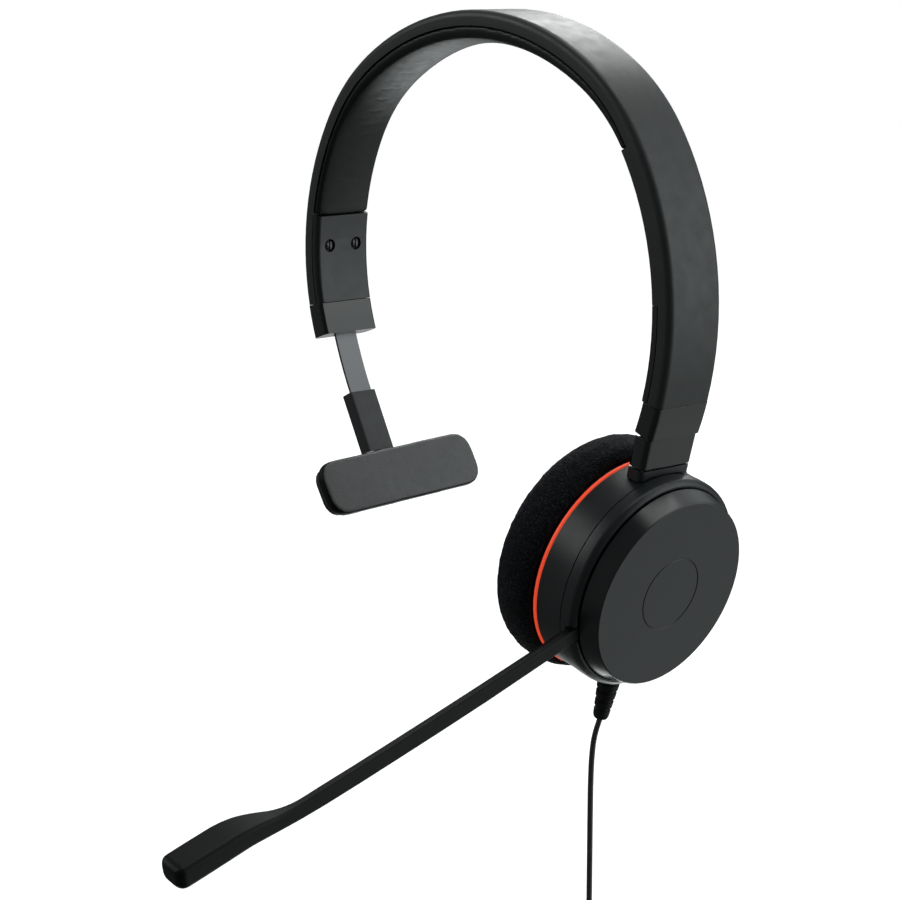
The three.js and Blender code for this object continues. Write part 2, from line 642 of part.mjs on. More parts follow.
function boomArm() {
  const arm = loft(BOOM_STATIONS.map((station) => boomSection(station)), boomPlace(BOOM_STATIONS));
  return cut(arm, rod(micPlace(MIC.bottom), micPlace(-15), MIC.radius + GAP));
}
addPiece(boomFrame, 'boom_arm', boomArm(), MATTE);

const grilleFront = MIC.back + 0.9;
const capsule = rod(micPlace(MIC.bottom - GAP), micPlace(grilleFront + GAP), MIC.radius);
addPiece(boomFrame, 'mic_capsule', capsule, BRASS);
addPiece(boomFrame, 'mic_grille', rod(micPlace(grilleFront), micPlace(MIC.back), MIC.radius), FOAM);

function boomRing() {
  const ring = turned([
    [28.3, -4.7], [28.8, -4.7], [29.8, -5.5], [30.05, -6.5], [30.05, -9.3], [28.6, -9.3], [28.6, -8.4],
    [13.4, -8.4], [13.4, -7], [27.7, -7], [28.3, -6.4],
  ]);
  const root = { ...BOOM_STATIONS[0] };
  const stations = [{ ...root, at: root.at - GAP }, { ...root, at: 34 }];
  return cut(ring, loft(stations.map((station) => boomSection(station, GAP)), boomPlace(stations)));
}
addPiece(boomFrame, 'boom_ring', boomRing(), SATIN);

// ---- lead ----------------------------------------------------------------------------------------

// ribbed and tapered; a flange holds it inside the housing's wall
const RELIEF_START = DRUM_RADIUS + GAP;
const RELIEF_END = RELIEF_START + RELIEF.length;

function strainRelief() {
  const { flange, neck } = RELIEF;
  const inside = DRUM_RADIUS - 3.4;
  const profile = [
    [0, inside], [flange, inside], [flange, inside + 1], [neck, inside + 1], [neck, RELIEF_START],
  ];
  const ribs = 5;
  const pitch = RELIEF.length / ribs;
  for (let i = 0; i < ribs; i += 1) {
    const radius = 3.4 - 0.26 * i;
    const from = RELIEF_START + pitch * i;
    profile.push([radius, from + 0.1], [radius - 0.15, from + 1.9]);
    if (i < ribs - 1) profile.push([radius - 0.7, from + 2.1], [radius - 0.75, from + pitch]);
  }
  profile.push([1.9, RELIEF_END], [0, RELIEF_END]);
  return turned(profile, 16).rotateY(Math.PI / 2).translate(-RELIEF.depth, 0, 0);
}
addPiece(cup, 'strain_relief', strainRelief(), RUBBER);

// an eight-sided tube along a smooth curve through the points
function cordTube(points, steps) {
  const section = new THREE.Shape();
  for (let i = 0; i < 8; i += 1) {
    const angle = rad(45 * i + 22.5);
    const [x, y] = [Math.cos(angle), Math.sin(angle)].map((v) => (v * CORD_DIAMETER) / 2);
    if (i === 0) section.moveTo(x, y);
    else section.lineTo(x, y);
  }
  section.closePath();
  const extrudePath = new THREE.CatmullRomCurve3(points, false, 'centripetal');
  return new THREE.ExtrudeGeometry(section, { steps, extrudePath });
}

const COIL_BOTTOM = FLOOR + TIE + GAP;
const CORD_LOW = COIL_BOTTOM + CORD_DIAMETER / 2;
const COIL_HALF = (COIL.layers * CORD_DIAMETER) / 2;
cup.updateMatrixWorld(true);
const leadStart = cup.localToWorld(new THREE.Vector3(-RELIEF.depth, 0, -RELIEF_END - GAP));
const leadPoints = [
  leadStart.toArray(), [39.3, 0, -187], [38.5, 0, -192], [38.1, 0, -199], [38, 0, -208], [38, 0, -220],
  [38, 0, -232], [38, 0, -245], [38, 0, -256], [38, 0.3, -262], [38, 1.8, -266.5], [38, 4.8, -269.6],
  [38, 9.6, CORD_LOW],
].map((p) => new THREE.Vector3(...p));
addPiece(headset, 'cord_lead', cordTube(leadPoints, 32), RUBBER);

// the rest of the cord, wound into a neat coil with a tie round it
function coilRing() {
  const [inner, outer, top] = [COIL.middle - COIL_HALF, COIL.middle + COIL_HALF, 2 * COIL_HALF];
  const profile = [[inner, 0], [outer, 0], [outer, top], [inner, top], [inner, 0]];
  const ring = new THREE.LatheGeometry(profile.map((p) => new THREE.Vector2(...p)), 32);
  return ring.rotateX(Math.PI / 2).translate(COIL.x, COIL.y, COIL_BOTTOM);
}
addPiece(headset, 'cord_coil', coilRing(), RUBBER);

// a band round the coil's wires on its -X side
function cordTie() {
  const x = COIL.x - COIL.middle;
  const half = COIL_HALF + 0.7;
  const hole = [COIL_BOTTOM - GAP, COIL_BOTTOM + 2 * COIL_HALF + GAP];
  const outside = box(
    x - half - TIE, COIL.y - 2, hole[0] - TIE, x + half + TIE, COIL.y + 2, hole[1] + TIE,
  );
  return cut(outside, box(x - half, COIL.y - 4, hole[0], x + half, COIL.y + 4, hole[1]));
}
addPiece(headset, 'cord_tie', cordTie(), FOAM);

const tailPoints = [
  [39.8, 19.6, CORD_LOW + 2.3], [40, 22, CORD_LOW + 1.1], [41.2, 25.2, CORD_LOW + 0.1],
  [43.1, 27.3, CORD_LOW], [45.5, 28, CORD_LOW], [47.9, 27, CORD_LOW + 0.2], [49.4, 24.3, CORD_LOW + 0.8],
  [50, 21, CORD_LOW + 1.8], [PLUG.x, PLUG.y + 0.3, FLOOR + 4],
].map((p) => new THREE.Vector3(...p));
addPiece(headset, 'cord_tail', cordTube(tailPoints, 18), RUBBER);

// a plug with a metal shell; it lies on its side along Y, its mouth at the low end
const plug = new THREE.Group();
plug.position.set(PLUG.x, PLUG.y, FLOOR + 4);
headset.add(plug);
const plugBox = (halfX, halfZ, from, to) => box(-halfX, -to, -halfZ, halfX, -from, halfZ);
const SHELL = { halfX: 6.05, halfZ: 2.25, wall: 0.4, seat: 3.7 };
const TONGUE = { halfX: 5.35, low: -1.55, high: 0.2 };

function plugBody() {
  const taper = turned([[0, 0], [1.6, 0], [2.9, PLUG.relief + 0.5], [0, PLUG.relief + 0.5]], 16);
  const outline = (grow) => rounded(8 - grow, -4 + grow, 4 - grow, 1.5, 1.5);
  const ends = [PLUG.relief, PLUG.relief + 1, PLUG.relief + PLUG.body];
  const body = loft([outline(1), outline(0), outline(0)], (k, p) => new THREE.Vector3(p.x, -ends[k], p.y));
  return cut(
    join(taper.rotateZ(-Math.PI / 2), body),
    plugBox(SHELL.halfX + GAP, SHELL.halfZ + GAP, ends[2] - SHELL.seat - GAP, ends[2] + 1),
  );
}
addPiece(plug, 'plug_body', plugBody(), RUBBER);

const shellFrom = PLUG.relief + PLUG.body - SHELL.seat;
const shellTo = PLUG.relief + PLUG.body + PLUG.shell;
const shell = cut(
  plugBox(SHELL.halfX, SHELL.halfZ, shellFrom, shellTo),
  plugBox(SHELL.halfX - SHELL.wall, SHELL.halfZ - SHELL.wall, shellFrom + 0.8, shellTo + 1),
);
addPiece(plug, 'plug_shell', shell, STEEL);

const tongue = box(
  -TONGUE.halfX, 0.3 - shellTo, TONGUE.low, TONGUE.halfX, -shellFrom - 0.8 - GAP, TONGUE.high,
);
addPiece(plug, 'plug_tongue', tongue, SATIN);

export default headset;
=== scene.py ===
"""Looks for the mono office headset: a sprung headband, a temple pad, an earcup with a foam cushion,
a boom microphone and a lead. Metres, +Z up, -Y towards the wearer's face, +X towards the earcup."""

import math

import bmesh
import bpy
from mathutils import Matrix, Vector


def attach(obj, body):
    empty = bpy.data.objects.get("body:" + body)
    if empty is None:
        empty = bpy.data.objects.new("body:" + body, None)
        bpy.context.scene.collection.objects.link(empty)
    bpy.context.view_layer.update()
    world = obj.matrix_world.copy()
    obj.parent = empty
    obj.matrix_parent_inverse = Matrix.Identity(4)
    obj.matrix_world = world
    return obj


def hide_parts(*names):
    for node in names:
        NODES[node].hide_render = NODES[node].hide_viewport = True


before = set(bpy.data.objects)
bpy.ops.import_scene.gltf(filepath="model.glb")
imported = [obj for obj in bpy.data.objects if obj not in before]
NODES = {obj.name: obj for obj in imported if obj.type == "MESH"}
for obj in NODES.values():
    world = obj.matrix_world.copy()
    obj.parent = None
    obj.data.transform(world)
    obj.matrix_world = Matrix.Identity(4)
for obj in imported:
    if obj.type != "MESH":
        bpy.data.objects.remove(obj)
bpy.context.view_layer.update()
MM = 0.001

# ---- camera ---------------------------------------------------------------------------------

CAMERA = {
    "azimuth": 47.0, "elevation": 11.0, "distance": 0.7, "target": (-0.0188, 0.0, -0.1152), "lens": 98.0,
    "sensor": 36.0,
}

azimuth, elevation = math.radians(CAMERA["azimuth"]), math.radians(CAMERA["elevation"])
towards_camera = Vector((
    math.sin(azimuth) * math.cos(elevation),
    -math.cos(azimuth) * math.cos(elevation),
    math.sin(elevation),
))
camera = bpy.data.objects.new("camera", bpy.data.cameras.new("camera"))
camera.location = Vector(CAMERA["target"]) + towards_camera * CAMERA["distance"]
camera.rotation_euler = (-towards_camera).to_track_quat("-Z", "Y").to_euler()
camera.data.lens = CAMERA["lens"]
camera.data.sensor_width = CAMERA["sensor"]
camera.data.clip_start = 0.05
camera.data.clip_end = 200.0
bpy.context.scene.collection.objects.link(camera)
bpy.context.scene.camera = camera

# ---- lead -----------------------------------------------------------------------------------

# the route's points are in mm, and are the same as those of the lead's solids
CORD_DIAMETER = 1.6 * MM
COIL = {"x": 26.3, "y": 16.0, "bottom": -270.3, "middle": 9.3, "layers": 4, "last_layer_turns": 3}
LEAD = [
    (41.3, 0, -181.2), (39.3, 0, -187), (38.5, 0, -192), (38.1, 0, -199), (38, 0, -208), (38, 0, -220),
    (38, 0, -232), (38, 0, -245), (38, 0, -256), (38, 0.3, -262), (38, 1.8, -266.5), (38, 4.8, -269.6),
    (38, 9.6, -270.3),
]
TAIL = [
    (38.6, 12.4, -265.5), (39.3, 15.4, -265.9), (39.6, 18.6, -267.4), (40.0, 22.0, -269.2),
    (41.2, 25.2, -270.2), (43.1, 27.3, -270.3), (45.5, 28.0, -270.3), (47.9, 27.0, -270.1),
    (49.4, 24.3, -269.5), (50.0, 21.0, -268.5), (50.0, 17.2, -268.0),
]
TURN_POINTS = 16
JOG_FROM = 310.0       # degrees into each turn where the cord moves over to its next place in the coil
LAST_TURN_ENDS = 300.0  # degrees into the last turn where the cord leaves the coil


def winding():
    """(radius, height) of each turn in mm: in, out, in, out, a layer at a time."""
    pitch = CORD_DIAMETER / MM
    half = (COIL["layers"] - 1) / 2
    radii = [COIL["middle"] + pitch * (half - i) for i in range(COIL["layers"])]
    places = []
    for layer in range(COIL["layers"]):
        order = radii if layer % 2 == 0 else radii[::-1]
        if layer == COIL["layers"] - 1:
            order = order[:COIL["last_layer_turns"]]
        places += [(radius, COIL["bottom"] + pitch * layer) for radius in order]
    return places


def coil_points():
    """The whole coil's points, one turn after another, each turn easing over to the next place."""
    places = winding()
    points = []
    for turn, (radius, height) in enumerate(places):
        last = turn == len(places) - 1
        following = (radius, height) if last else places[turn + 1]
        for i in range(TURN_POINTS):
            angle = 360.0 * i / TURN_POINTS
            if last and angle > LAST_TURN_ENDS:
                break
            part = max(0.0, (angle - JOG_FROM) / (360.0 - JOG_FROM))
            eased = part * part * (3 - 2 * part)
            here = radius + (following[0] - radius) * eased
            points.append((
                COIL["x"] + here * math.cos(math.radians(angle)),
                COIL["y"] + here * math.sin(math.radians(angle)),
                height + (following[1] - height) * eased,
            ))
    return points


def make_curve(name, points, diameter):
    """A round cord along the points, given in mm."""
    data = bpy.data.curves.new(name, "CURVE")
    data.dimensions = "3D"
    data.bevel_depth = 1.0     # multiplied by each knot's radius
    data.bevel_resolution = 3
    data.use_fill_caps = True
    data.resolution_u = 4
    spline = data.splines.new("BEZIER")
    spline.bezier_points.add(len(points) - 1)
    for knot, point in zip(spline.bezier_points, points):
        knot.co = Vector(point) * MM
        knot.radius = diameter / 2
        knot.handle_left_type = knot.handle_right_type = "AUTO"
    piece = bpy.data.objects.new(name, data)
    bpy.context.scene.collection.objects.link(piece)
    return piece


cord = make_curve("lead_cord", LEAD + coil_points() + TAIL, CORD_DIAMETER)
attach(cord, "earcup")
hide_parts("cord_lead", "cord_coil", "cord_tail")

# ---- node materials ---------------------------------------------------------------------------


def new_material(name):
    material = bpy.data.materials.new(name)
    material.use_nodes = True
    tree = material.node_tree
    return material, tree, tree.nodes["Principled BSDF"]


def link(tree, source, target):
    tree.links.new(source, target)


def dot_product(tree, vector, other):
    """The dot product of a vector socket with another one, or with a fixed vector."""
    node = tree.nodes.new("ShaderNodeVectorMath")
    node.operation = "DOT_PRODUCT"
    link(tree, vector, node.inputs[0])
    if isinstance(other, bpy.types.NodeSocket):
        link(tree, other, node.inputs[1])
    else:
        node.inputs[1].default_value = other
    return node.outputs["Value"]


def place(tree, stretch=(1, 1, 1)):
    """Positions in the part's own frame, stretched."""
    coordinates = tree.nodes.new("ShaderNodeTexCoord")
    mapping = tree.nodes.new("ShaderNodeMapping")
    mapping.inputs["Scale"].default_value = stretch
    link(tree, coordinates.outputs["Object"], mapping.inputs["Vector"])
    return mapping.outputs["Vector"]


def noise(tree, size, detail=3.0, stretch=(1, 1, 1), roughness=0.55):
    """Noise whose features are about `size` metres."""
    node = tree.nodes.new("ShaderNodeTexNoise")
    node.inputs["Scale"].default_value = 1 / size
    node.inputs["Detail"].default_value = detail
    node.inputs["Roughness"].default_value = roughness
    link(tree, place(tree, stretch), node.inputs["Vector"])
    return node.outputs["Fac"]


def cells(tree, size, feature="F1"):
    """Distances in a pattern of irregular cells about `size` metres across."""
    node = tree.nodes.new("ShaderNodeTexVoronoi")
    node.feature = feature
    node.inputs["Scale"].default_value = 1 / size
    link(tree, place(tree), node.inputs["Vector"])
    return node.outputs["Distance"]


def remap(tree, value, low, high, from_low=0.3, from_high=0.7):
    """The value brought from `from_low`..`from_high` to `low`..`high`. Noise lies mostly in 0.3..0.7."""
    node = tree.nodes.new("ShaderNodeMapRange")
    node.inputs["From Min"].default_value = from_low
    node.inputs["From Max"].default_value = from_high
    node.inputs["To Min"].default_value = low
    node.inputs["To Max"].default_value = high
    link(tree, value, node.inputs["Value"])
    return node.outputs["Result"]


def mix_colour(tree, factor, a, b):
    """Colour `a` where the factor is 0 and `b` where it is 1. Each is three numbers or a socket."""
    node = tree.nodes.new("ShaderNodeMix")
    node.data_type = "RGBA"
    node.clamp_factor = True
    link(tree, factor, node.inputs[0])
    for socket, value in ((node.inputs[6], a), (node.inputs[7], b)):
        if isinstance(value, tuple):
            socket.default_value = (*value, 1.0)
        else:
            link(tree, value, socket)
    return node.outputs[2]


def bump(tree, height, depth, strength=1.0, normal=None):
    """Relief `depth` metres deep, on top of another one's `normal`."""
    node = tree.nodes.new("ShaderNodeBump")
    node.inputs["Strength"].default_value = strength
    node.inputs["Distance"].default_value = depth
    link(tree, height, node.inputs["Height"])
    if normal is not None:
        link(tree, normal, node.inputs["Normal"])
    return node.outputs["Normal"]


def edge_mask(tree, radius):
    """1 on a band `radius` wide along sharp edges, 0 on the faces."""
    bevel = tree.nodes.new("ShaderNodeBevel")
    bevel.samples = 4
    bevel.inputs["Radius"].default_value = radius
    geometry = tree.nodes.new("ShaderNodeNewGeometry")
    likeness = dot_product(tree, bevel.outputs["Normal"], geometry.outputs["Normal"])
    return remap(tree, likeness, 1.0, 0.0, 0.8, 0.99)


def scaled(colour, factor):
    return tuple(min(1.0, c * factor) for c in colour)


def plastic(
    name, colour, roughness, grain=0.25, depth=0.012, spread=0.12, edge_wear_and_highlight=1.6, gloss=0.5, painted_glow=0.0,
):
    """Moulded plastic: fine grain, cloudy colour and gloss, and edges a little lighter, partly worn and
    partly a painted edge highlight.
    Its emission, when set, is painted light that makes a saturated plastic look lit from inside,
    brighter than the lamps leave it in shade."""
    material, tree, shader = new_material(name)
    cloud = noise(tree, 9 * MM, 4)
    fine = noise(tree, grain * MM, 2)
    body = mix_colour(
        tree, remap(tree, cloud, 0, 1), scaled(colour, 1 - spread), scaled(colour, 1 + spread),
    )
    # edges lightened: partly worn edges, partly a painted edge highlight
    rubbed_and_highlit = mix_colour(tree, edge_mask(tree, 0.35 * MM), body, scaled(colour, edge_wear_and_highlight))
    link(tree, rubbed_and_highlit, shader.inputs["Base Color"])
    smudge = remap(tree, noise(tree, 4 * MM, 5), roughness * 0.9, roughness * 1.12)
    link(tree, smudge, shader.inputs["Roughness"])
    link(tree, bump(tree, fine, depth * MM), shader.inputs["Normal"])
    shader.inputs["Specular IOR Level"].default_value = gloss
    # emission here is painted light, not a lamp: it brightens the plastic where it sits in shade
    if painted_glow:
        shader.inputs["Emission Color"].default_value = (*colour, 1.0)
        shader.inputs["Emission Strength"].default_value = painted_glow
    return material


def metal(name, colour, roughness, stretch, streak=0.3):
    """Drawn or brushed metal: streaks along one direction in gloss and height."""
    material, tree, shader = new_material(name)
    streaks = noise(tree, streak * MM, 3, stretch)
    link(tree, mix_colour(
        tree, remap(tree, streaks, 0, 1), scaled(colour, 0.86), scaled(colour, 1.1),
    ), shader.inputs["Base Color"])
    link(tree, remap(tree, streaks, roughness * 0.85, roughness * 1.2), shader.inputs["Roughness"])
    link(tree, bump(tree, streaks, 0.004 * MM), shader.inputs["Normal"])
    shader.inputs["Metallic"].default_value = 1.0
    return material


PANEL_FADE = (0.7, 0.86)      # the cosines, from the face's normal, where the panel starts and is full
SIDE_GLOSS = 0.15


def leatherette(name, colour, roughness, gloss=0.5, face=None, painted_side_shade=None):
    """Artificial leather: pebbled grain, slight sheen, cloudy colour. With `face` and a border colour,
    only the panel that looks along `face` has the colour, and the border round it is painted darker in
    the border colour: painted shade on the sides."""
    material, tree, shader = new_material(name)
    shader.inputs["Specular IOR Level"].default_value = gloss
    pebbles = cells(tree, 0.42 * MM, "SMOOTH_F1")
    creases = noise(tree, 2.2 * MM, 5)
    body = mix_colour(
        tree, remap(tree, pebbles, 0, 1, 0.1, 0.7), scaled(colour, 1.12), scaled(colour, 0.85),
    )
    clouded = mix_colour(tree, remap(tree, noise(tree, 12 * MM), 0, 0.5), body, scaled(colour, 0.8))
    if face:
        coordinates = tree.nodes.new("ShaderNodeTexCoord")
        facing = dot_product(tree, coordinates.outputs["Normal"], face)
        panel = remap(tree, facing, 0, 1, *PANEL_FADE)
        # painted shade: the border round the panel is darkened, as if turned from the light
        clouded = mix_colour(tree, panel, painted_side_shade, clouded)
        link(tree, remap(tree, panel, SIDE_GLOSS, gloss, 0, 1), shader.inputs["Specular IOR Level"])
    link(tree, clouded, shader.inputs["Base Color"])
    link(tree, remap(tree, creases, roughness * 0.9, roughness * 1.15), shader.inputs["Roughness"])
    normal = bump(tree, pebbles, 0.02 * MM, 0.35)
    link(tree, bump(tree, creases, 0.03 * MM, 0.3, normal), shader.inputs["Normal"])
    shader.inputs["Sheen Weight"].default_value = 0.08
    shader.inputs["Sheen Roughness"].default_value = 0.4
    return material


SPARKLE = (0.05, 0.055, 0.075)


def foam(name, colour):
    """Open-cell foam: dark pores among lighter struts, with a faint cold sparkle."""
    material, tree, shader = new_material(name)
    pores = cells(tree, 0.55 * MM)
    struts = noise(tree, 0.3 * MM, 4, roughness=0.7)
    speck = remap(tree, noise(tree, 0.42 * MM, 2), 0, 1, 0.56, 0.74)
    body = mix_colour(
        tree, remap(tree, pores, 0, 1, 0.15, 0.6), scaled(colour, 1.5), scaled(colour, 0.25),
    )
    link(tree, mix_colour(tree, speck, body, SPARKLE), shader.inputs["Base Color"])
    shader.inputs["Roughness"].default_value = 0.95
    shader.inputs["Specular IOR Level"].default_value = 0.18
    normal = bump(tree, pores, -0.25 * MM, 0.7)
    link(tree, bump(tree, struts, 0.12 * MM, 0.8, normal), shader.inputs["Normal"])
    shader.inputs["Sheen Weight"].default_value = 0.04
    return material


def rubber(name, colour, roughness, gloss=0.5):
    """Soft rubber: matt, with fine grain and a little dust that lightens it."""
    material, tree, shader = new_material(name)
    shader.inputs["Specular IOR Level"].default_value = gloss
    dust = noise(tree, 3 * MM, 5)
    link(tree, mix_colour(
        tree, remap(tree, dust, 0, 1, 0.35, 0.75), colour, scaled(colour, 1.5),
    ), shader.inputs["Base Color"])
    link(tree, remap(tree, dust, roughness, roughness * 1.25), shader.inputs["Roughness"])
    link(tree, bump(tree, noise(tree, 0.12 * MM, 2), 0.01 * MM, 0.6), shader.inputs["Normal"])
    return material


TRACK, LACQUER = (0.06, 0.2, 0.09), (0.02, 0.09, 0.04)


def board_material():
    """Green circuit board with paler tracks."""
    material, tree, shader = new_material("board")
    tracks = cells(tree, 2.5 * MM, "DISTANCE_TO_EDGE")
    link(
        tree, mix_colour(tree, remap(tree, tracks, 0, 1, 0.05, 0.09), TRACK, LACQUER),
        shader.inputs["Base Color"],
    )
    link(tree, remap(tree, noise(tree, 2 * MM), 0.35, 0.5), shader.inputs["Roughness"])
    return material


ALONG_Z, ALL_WAYS = (1, 1, 0.03), (1, 1, 1)
SHELL = plastic("shell_plastic", (0.019, 0.0212, 0.022), 0.46, grain=0.22, depth=0.01)
COVER = plastic("cover_plastic", (0.008, 0.0105, 0.0115), 0.4, grain=0.2, depth=0.006)
SATIN = plastic("satin_plastic", (0.011, 0.0145, 0.016), 0.36, grain=0.2, depth=0.004)
CAP = plastic("cap_plastic", (0.0125, 0.0155, 0.0165), 0.24, grain=0.2, depth=0.003)
GLOSS = plastic(
    "gloss_plastic", (0.003, 0.0035, 0.004), 0.06, grain=0.6, depth=0.001, edge_wear_and_highlight=1.2, gloss=0.6,
)
BOOM = plastic("boom_plastic", (0.0015, 0.0021, 0.0024), 0.42, grain=0.2, depth=0.006, gloss=0.2)
STEM = plastic("stem_plastic", (0.02, 0.022, 0.024), 0.5, grain=0.25, depth=0.01)
# the accent ring's emission is painted light, which keeps the ring bright orange though it is in shade
ACCENT = plastic(
    "accent_plastic", (1.0, 0.09, 0.035), 0.38, depth=0.004, spread=0.04, edge_wear_and_highlight=1.0, painted_glow=0.6,
)
BLADE = metal("blade_steel", (0.13, 0.133, 0.137), 0.36, ALONG_Z)
STEEL = metal("bright_steel", (0.5, 0.5, 0.51), 0.3, ALL_WAYS)
DARK_STEEL = metal("black_steel", (0.07, 0.07, 0.075), 0.3, ALL_WAYS)
BRASS = metal("brass", (0.5, 0.36, 0.12), 0.3, ALL_WAYS)
PAD_NORMAL = (0.88, 0.0, 0.476)        # out of the temple pad's face
# the pad's dark border round its face is painted shade on its sides
PAD_SKIN = leatherette(
    "pad_skin", (0.075, 0.077, 0.079), 0.5, face=PAD_NORMAL, painted_side_shade=(0.0025, 0.0028, 0.003),
)
BAND_SKIN = leatherette("band_skin", (0.005, 0.0068, 0.0075), 0.42, gloss=0.33)
FOAM = foam("foam", (0.008, 0.009, 0.012))
RUBBER = rubber("rubber", (0.003, 0.0033, 0.0036), 0.5, gloss=0.3)
CORD_SKIN = rubber("cord_skin", (0.03, 0.031, 0.032), 0.4)
STRAP = rubber("strap", (0.012, 0.012, 0.013), 0.75)
FILM = plastic("film", (0.5, 0.48, 0.42), 0.35, edge_wear_and_highlight=1.0)
BOARD = board_material()

NODE_MATERIALS = {
    "headband_shell": SHELL, "spring_band": STEEL, "cushion_liner": SATIN,
    "tbar_side_cover": COVER, "tbar_collar": GLOSS, "tbar_detent_spring": STEEL,
    "tbar_cover_screw_front": DARK_STEEL, "tbar_cover_screw_back": DARK_STEEL,
    "cup_side_cover": COVER, "cup_collar": GLOSS, "cup_detent_spring": STEEL,
    "cup_cover_screw_front": DARK_STEEL, "cup_cover_screw_back": DARK_STEEL,
    "tbar_blade": BLADE, "tbar_stem": STEM, "pad_backplate": STEM,
    "cup_blade": BLADE, "cup_arm": GLOSS, "ball_stud": STEEL,
    "arm_socket": SATIN, "cup_housing": SATIN, "outer_cap": CAP, "circuit_board": BOARD,
    "cap_screw": STEEL, "friction_washer": STEEL, "accent_ring": ACCENT, "driver_baffle": SATIN,
    "driver_magnet": STEEL, "driver_diaphragm": FILM, "boom_ring": SATIN, "boom_arm": BOOM,
    "mic_capsule": BRASS, "mic_grille": FOAM, "strain_relief": RUBBER, "cord_tie": STRAP,
    "plug_body": RUBBER, "plug_shell": STEEL, "plug_tongue": SATIN,
}


def dress(piece, material):
    piece.data.materials.clear()
    piece.data.materials.append(material)


dress(cord, CORD_SKIN)

# ---- the rigid pieces: softened edges and smooth shading ------------------------------------------

SMOOTH_ANGLE = math.radians(34)
BEVEL_ANGLE = math.radians(38)
BEVEL_STEPS = 3
WELD_DISTANCE = 0.002 * MM
NORMAL_WEIGHT = 60
EDGE = {        # how wide each piece's edges are softened, in mm
    "tbar_collar": 0.5, "cup_collar": 0.25, "cup_arm": 0.45, "arm_socket": 0.2, "tbar_stem": 0.2,
    "pad_backplate": 0.35, "boom_arm": 0.2, "boom_ring": 0.1, "cup_housing": 0.08, "outer_cap": 0.08,
    "headband_shell": 0.06, "tbar_side_cover": 0.06, "cup_side_cover": 0.06, "tbar_blade": 0.1,
    "cup_blade": 0.1, "plug_body": 0.4, "plug_shell": 0.12, "cord_tie": 0.2, "accent_ring": 0.12,
    "strain_relief": 0.12, "driver_baffle": 0.15,
}


def shade_smooth(mesh):
    mesh.polygons.foreach_set("use_smooth", [True] * len(mesh.polygons))


for name, material in NODE_MATERIALS.items():
    node = NODES[name]
    dress(node, material)
    shade_smooth(node.data)
    node.data.set_sharp_from_angle(angle=SMOOTH_ANGLE)
    weld = node.modifiers.new("weld", "WELD")
    weld.merge_threshold = WELD_DISTANCE
    if name in EDGE:
        bevel = node.modifiers.new("edges", "BEVEL")
        bevel.width = EDGE[name] * MM
        bevel.segments = BEVEL_STEPS
        bevel.limit_method = "ANGLE"
        bevel.angle_limit = BEVEL_ANGLE
        bevel.use_clamp_overlap = True
        bevel.harden_normals = False
    weighted = node.modifiers.new("normals", "WEIGHTED_NORMAL")
    weighted.keep_sharp = False
    weighted.weight = NORMAL_WEIGHT

# ---- soft pieces -----------------------------------------------------------------------------------

SIM_SCALE = 10.0       # soft pieces are simulated ten times larger, where cloth settings behave
SIM_STEPS = 20


def evaluated(piece):
    """A new mesh of the piece as its modifiers leave it."""
    bpy.context.view_layer.update()
    graph = bpy.context.evaluated_depsgraph_get()
    return bpy.data.meshes.new_from_object(piece.evaluated_get(graph))


def coordinates_of(mesh):
    return [v.co.copy() for v in mesh.vertices]


def stuffed(name, node, body, voxel, shrink, pressure, cap, held):
    """A padded piece from a CAD solid's own shape: remeshed, blown up as cloth, smoothed. `voxel`,
    `shrink` before the cloth and `cap`, the furthest that a point may move, are in mm.
    held(point, normal) is True where the skin is fixed to what is behind it."""
    piece = bpy.data.objects.new(name, NODES[node].data.copy())
    bpy.context.scene.collection.objects.link(piece)
    piece.scale = (SIM_SCALE,) * 3
    piece.data.transform(piece.matrix_basis)
    piece.scale = (1, 1, 1)
    remesh = piece.modifiers.new("remesh", "REMESH")
    remesh.mode = "VOXEL"
    remesh.voxel_size = voxel * MM * SIM_SCALE
    even = piece.modifiers.new("even", "SMOOTH")
    even.factor = 0.5
    even.iterations = 3
    mesh = evaluated(piece)
    piece.modifiers.clear()
    piece.data = mesh
    if shrink:
        for vertex, normal in zip(mesh.vertices, [v.normal.copy() for v in mesh.vertices]):
            vertex.co -= normal * shrink * MM * SIM_SCALE
    start = coordinates_of(mesh)
    group = piece.vertex_groups.new(name="held")
    for vertex in mesh.vertices:
        fixed = held(vertex.co / SIM_SCALE, vertex.normal)
        group.add([vertex.index], 1.0 if fixed else 0.0, "REPLACE")
    cloth = piece.modifiers.new("cloth", "CLOTH")
    cloth.settings.vertex_group_mass = "held"
    cloth.settings.use_pressure = True
    cloth.settings.uniform_pressure_force = pressure
    cloth.settings.effector_weights.gravity = 0
    cloth.settings.quality = 4
    scene = bpy.context.scene
    for step in range(1, SIM_STEPS + 1):
        scene.frame_set(step)
    settled = coordinates_of(evaluated(piece))
    piece.modifiers.clear()
    scene.frame_set(1)
    limit = cap * MM * SIM_SCALE
    for vertex, old, new in zip(mesh.vertices, start, settled):
        move = new - old
        if move.length > limit:
            move *= limit / move.length
        vertex.co = old + move
    for vertex in mesh.vertices:
        vertex.co /= SIM_SCALE
    shade_smooth(mesh)
    mesh.update()
    subdivision = piece.modifiers.new("subdivision", "SUBSURF")
    subdivision.levels = subdivision.render_levels = 1
    piece.vertex_groups.clear()
    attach(piece, body)
    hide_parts(node)
    return piece


CUP_LEAN = math.radians(15.5)
cup_axis = Vector((math.cos(CUP_LEAN), 0, -math.sin(CUP_LEAN)))      # out of the outer cap's face

foam_pad = stuffed(
    "ear_foam", "foam_cushion", "earcup", voxel=1.0, shrink=0.1, pressure=3.0, cap=0.7,
    held=lambda point, normal: normal.dot(cup_axis) > -0.75,
)
dress(foam_pad, FOAM)
